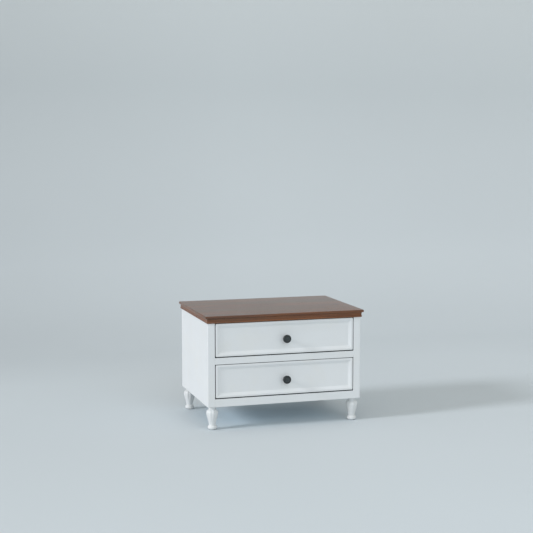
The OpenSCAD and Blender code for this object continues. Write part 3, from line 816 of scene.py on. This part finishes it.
knobShape = {
    "steps": 96,
    "base": 7.6 * mm,
    "baseRound": 0.9 * mm,
    "waist": 5.6 * mm,
    "waistStart": 2.3 * mm,
    "waistEnd": 15.0 * mm,
    "head": 15.5 * mm,
    "flare": 9.0 * mm,
    "headRound": 4.0 * mm,
    "ring": 8.8 * mm,
    "button": 2.3 * mm,
    "dish": 0.9 * mm,
    "bore": 2.03 * mm,
    "boreDepth": 8.0 * mm,
}


def knobProfile(length):
    # (radius, distance from the panel)
    shape = knobShape
    base, waist, head = shape["base"], shape["waist"], shape["head"]
    baseRound = shape["baseRound"]
    profile = [(shape["bore"], shape["boreDepth"]), (shape["bore"], 0), (base - 0.6 * mm, 0)]
    profile += arcPoints((base - baseRound, 1.2 * mm), baseRound, -50, 60, 6)
    waistStart, waistEnd = shape["waistStart"], shape["waistEnd"]
    for i in range(13):
        along = i / 12
        radius = waist + (base - 1.4 * mm - waist) * (1 - along) ** 2.4
        profile.append((radius, waistStart + (waistEnd - waistStart) * along))
    for i in range(1, 15):
        angle = math.radians(90 * i / 14)
        profile.append((waist + (head - waist) * math.sin(angle) ** 0.9,
                        waistEnd + shape["flare"] * (1 - math.cos(angle))))
    curve = shape["headRound"]
    for i in range(15):
        angle = math.radians(90 * i / 14)
        profile.append((head - curve * (1 - math.cos(angle)), length - curve + curve * math.sin(angle)))
    ring, dish, button = shape["ring"], shape["dish"], shape["button"]
    profile += [(ring + 0.7 * mm, length), (ring + 0.25 * mm, length - 0.15 * mm)]
    profile += [(ring, length - dish * 0.8)]
    profile += [(ring - 0.4 * mm, length - dish), (ring * 0.6, length - dish * 0.75)]
    profile += [(button + 0.6 * mm, length - dish * 0.6), (button + 0.1 * mm, length - dish * 0.35)]
    profile += [(button - 0.3 * mm, length - 0.1 * mm), (button - 0.9 * mm, length)]
    faceStart = len(profile) - 7
    return profile, range(faceStart, len(profile))


def makeKnob(name, node):
    low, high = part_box(node)
    centreX, centreZ = (low.x + high.x) / 2, (low.z + high.z) / 2
    loops = []
    profile, faceBands = knobProfile(high.y - low.y)
    for radius, distance in profile:
        y = high.y - distance
        loop = []
        for i in range(knobShape["steps"]):
            angle = 2 * math.pi * i / knobShape["steps"]
            loop.append((centreX + radius * math.cos(angle), y, centreZ + radius * math.sin(angle)))
        loops.append(loop)
    return skinLoops(name, loops, 50, faceBands)


for row in ("upper", "lower"):
    title = row + "Knob"
    node = row + "_knob"
    looks = [blackIron, knobFace]
    addPiece(title, makeKnob(title, node), looks, row + "_drawer", [node])
print("knobs made")


# Turned feet with ten lobes round the bulb

footShape = {
    "lobes": 10,
    "steps": 160,
    "lobeDepth": 1.6 * mm,
    "neck": 14.0 * mm,
    "bulb": 22.5 * mm,
    "ankle": 12.5 * mm,
    "bead": 17.5 * mm,
    "beadHeight": 8.5 * mm,
    "beadTop": 16.0 * mm,
    "beadUnder": 6.5 * mm,
    "beadOver": 4.5 * mm,
    "ankleHeight": 18.0 * mm,
    "bulbDrop": 27.0 * mm,    # below the top of the foot
    "neckDrop": 13.0 * mm,
    "collarDrop": 6.0 * mm,
    "boltBore": 4.02 * mm,
    "boltDepth": 30.0 * mm,
    "pinBore": 1.52 * mm,
    "pinTop": 16.0 * mm,
    "glidePocket": 10.2 * mm,
    "glideTop": 4.0 * mm,
}


def footProfile(start, top):
    # (radius, height, share of the lobes' depth), from the nail's hole round to the bolt's
    shape = footShape
    profile = [(shape["pinBore"], shape["pinTop"], 0), (shape["pinBore"], shape["glideTop"], 0)]
    profile += [(shape["glidePocket"], shape["glideTop"], 0), (shape["glidePocket"], start, 0)]
    under, over = shape["beadUnder"], shape["beadOver"]
    drop = shape["beadHeight"] - start
    for i in range(11):
        angle = math.radians(-88 + 88 * i / 10)
        radius = shape["bead"] - under * (1 - math.cos(angle))
        profile.append((radius, shape["beadHeight"] + drop * math.sin(angle), 0))
    rise = shape["beadTop"] - shape["beadHeight"]
    for i in range(1, 9):
        angle = math.radians(86 * i / 8)
        radius = shape["bead"] - over * (1 - math.cos(angle))
        profile.append((radius, shape["beadHeight"] + rise * math.sin(angle), 0))
    bulbHeight = top - shape["bulbDrop"]
    neckHeight = top - shape["neckDrop"]
    for i in range(33):
        along = i / 32
        swell = (1 - math.cos(math.pi * along)) / 4 + along / 2
        radius = shape["ankle"] + (shape["bulb"] - shape["ankle"]) * swell
        height = shape["ankleHeight"] + (bulbHeight - shape["ankleHeight"]) * along
        share = max(0, min(1, (along - 0.30) / 0.60))
        profile.append((radius, height, share * share * (3 - 2 * share)))
    for i in range(1, 18):
        angle = math.radians(88 * i / 17)
        radius = shape["neck"] + (shape["bulb"] - shape["neck"]) * math.cos(angle)
        height = bulbHeight + (neckHeight - bulbHeight) * math.sin(angle)
        profile.append((radius, height, math.cos(angle) ** 0.6))
    neck = shape["neck"]
    profile += [(neck, neckHeight + 0.8 * mm, 0), (neck, top - shape["collarDrop"], 0)]
    profile += [(neck + 0.35 * mm, top - 2.5 * mm, 0), (neck + 1.0 * mm, top, 0)]
    bore, depth = shape["boltBore"], shape["boltDepth"]
    profile += [(bore, top, 0), (bore, top - depth + 5 * mm, 0), (0.5 * mm, top - depth, 0)]
    return profile


def makeFoot(name, node):
    low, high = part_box(node)
    centreX, centreY = (low.x + high.x) / 2, (low.y + high.y) / 2
    loops = []
    for radius, height, share in footProfile(low.z, high.z):
        loop = []
        for i in range(footShape["steps"]):
            angle = 2 * math.pi * i / footShape["steps"]
            # a lobe faces straight to the front; narrow grooves part it from its neighbours
            groove = 1 - abs(math.cos(footShape["lobes"] * (angle + math.pi / 2) / 2)) ** 0.8
            reach = radius - footShape["lobeDepth"] * share * groove
            loop.append((centreX + reach * math.cos(angle), centreY + reach * math.sin(angle), height))
        loops.append(loop)
    return skinLoops(name, loops, 50)


for end in ("front", "back"):
    for side in ("left", "right"):
        title = "foot" + end.title() + side.title()
        node = "foot_" + end + "_" + side
        addPiece(title, makeFoot(title, node), [footPaintShaded], "carcass", [node])
print("feet made")


# CAD nodes that keep their shape and get a finish

def dressNode(name, material, ease=0.0):
    node = nodes[name]
    if not node.material_slots:
        node.data.materials.append(material)
    for slot in node.material_slots:
        slot.material = material
    if ease:
        weld = node.modifiers.new("weld", "WELD")
        weld.merge_threshold = 0.002 * mm
        flat = node.modifiers.new("flatFaces", "DECIMATE")
        flat.decimate_type = "DISSOLVE"
        flat.angle_limit = math.radians(0.3)
        bevel = easeEdges(node, ease, 2, "ANGLE")
        bevel.angle_limit = math.radians(30)


finishes = {
    "side_panel_left": (whitePaint, 0.3 * mm),
    "side_panel_right": (whitePaint, 0.3 * mm),
    "base_board": (whitePaint, 0.3 * mm),
    "back_panel": (backBoard, 0.3 * mm),
    "stretcher_front": (beechAlongX, 0.8 * mm),
    "stretcher_back": (beechAlongX, 0.8 * mm),
    "top_batten": (walnutFront, 0.8 * mm),
    "packers_left": (beechAlongY, 0.6 * mm),
    "packers_right": (beechAlongY, 0.6 * mm),
    "floor_glides": (nylon, 0),
    "frame_dowels": (beechAlongX, 0),
}
for name in nodes:
    if name.endswith(("_screws", "_screw", "_bolts", "_inserts")) or "cage" in name:
        finishes[name] = (zincSteel, 0)
    elif name.startswith("runner") or "_slide_" in name:
        finishes[name] = (zincSteel, 0.15 * mm)
    elif name.endswith(("_box_left", "_box_right")):
        finishes[name] = (birchAcrossX, 0.35 * mm)
    elif name.endswith(("_box_front", "_box_back")):
        finishes[name] = (birchAcrossY, 0.35 * mm)
    elif name.endswith("_box_bottom"):
        finishes[name] = (birchAcrossZ, 0.2 * mm)
for name, (material, ease) in finishes.items():
    dressNode(name, material, ease)
print("finishes on", len(finishes), "nodes")


# Stage: a floor that bends up into a wall

def stageMesh():
    shape = stageSetup
    start, radius = shape["bendStart"], shape["bendRadius"]
    line = [(shape["near"], 0.0), (-1.0, 0.0), (start, 0.0)]
    line += [(start + x, radius + y) for x, y in arcPoints((0, 0), radius, -90, 0, shape["bendSteps"])]
    line.append((start + radius, shape["wallHeight"]))
    bm = bmesh.new()
    rows = []
    for y, z in line:
        rows.append([bm.verts.new((x, y, z)) for x in (-shape["halfWidth"], shape["halfWidth"])])
    for near, far in zip(rows, rows[1:]):
        bm.faces.new((near[0], near[1], far[1], far[0]))
    mesh = bpy.data.meshes.new("studioFloor")
    bm.to_mesh(mesh)
    bm.free()
    mesh.shade_smooth()
    return mesh


def stageCloudsLightAndShade(tree, across, back, up, under):
    # painted light and shade over the stage, with faint random clouds of tone: painted shade in the bend
    # and to the left of it, painted light up the wall, towards the front and at the left end under the
    # body
    behind = remap(tree, back, 0.9, 1.9, 0.0, 1.0)
    bend = maths(tree, "MULTIPLY", behind, remap(tree, up, 0.08, 0.35, 0.05, 0.0))
    side = remap(tree, across, -1.6, 0.6, 0.14, 0.0)
    side = maths(tree, "MULTIPLY", side, remap(tree, back, 0.8, 1.8, 0.0, 1.0))
    lift = remap(tree, up, 0.5, 1.9, -0.045, 0.09)
    low = maths(tree, "MULTIPLY", remap(tree, up, 0.2, 0.6, 0.015, 0.0), behind)
    cloud = remap(tree, noise(tree, partSpace(tree), 0.8, 2.0), 0.3, 0.7, 1.01, 1.03)
    near = remap(tree, back, 1.0, -1.5, 0.0, 0.035)
    tone = maths(tree, "SUBTRACT", maths(tree, "SUBTRACT", cloud, bend), side)
    tone = maths(tree, "ADD", maths(tree, "ADD", tone, low), maths(tree, "ADD", lift, near))
    # painted light at the left end of the floor under the body
    underLeftLight = remap(tree, across, -0.30, 0.05, 0.14, 0.0)
    return maths(tree, "ADD", tone, maths(tree, "MULTIPLY", under, underLeftLight))


def letBehindThrough(tree, shader):
    # seen from behind, the wall lets the view through
    clear = addNode(tree, "ShaderNodeBsdfTransparent")
    surface = addNode(tree, "ShaderNodeNewGeometry")
    either = addNode(tree, "ShaderNodeMixShader")
    feed(tree, either.inputs[0], surface.outputs["Backfacing"])
    feed(tree, either.inputs[1], shader.outputs[0])
    feed(tree, either.inputs[2], clear.outputs[0])
    feed(tree, tree.nodes["Material Output"].inputs["Surface"], either.outputs[0])


def makeStagePaint():
    shape = stageSetup
    material, tree, shader = newMaterial("studioFloor", shape["colour"])
    place = addNode(tree, "ShaderNodeSeparateXYZ")
    feed(tree, place.inputs[0], partSpace(tree))
    across, back, up = (place.outputs[i] for i in range(3))
    # painted shade: under the body the floor takes a bluer colour
    under = maths(tree, "MULTIPLY", remap(tree, maths(tree, "ABSOLUTE", across), 0.16, 0.34, 1.0, 0.0),
                  remap(tree, maths(tree, "ABSOLUTE", back), 0.06, 0.24, 1.0, 0.0))
    # the wall turns lighter and warmer upwards: painted light
    colour = mixColours(tree, remap(tree, up, 0.5, 1.9, 0.0, 1.0), shape["colour"], shape["wallTopLight"])
    colour = mixColours(tree, under, colour, shape["shade"])
    shaded = addNode(tree, "ShaderNodeVectorMath", operation="SCALE")
    feed(tree, shaded.inputs[0], colour)
    feed(tree, shaded.inputs["Scale"], stageCloudsLightAndShade(tree, across, back, up, under))
    feed(tree, shader.inputs["Base Color"], shaded.outputs[0])
    shader.inputs["Roughness"].default_value = 0.9
    shader.inputs["Specular IOR Level"].default_value = 0.2
    letBehindThrough(tree, shader)
    return material


def makeStage():
    mesh = stageMesh()
    mesh.materials.append(makeStagePaint())
    floor = bpy.data.objects.new("studioFloor", mesh)
    scene.collection.objects.link(floor)


makeStage()
makeCamera()
makeLights()
scene.view_settings.view_transform = "Standard"
print("stage, camera and lights ready")
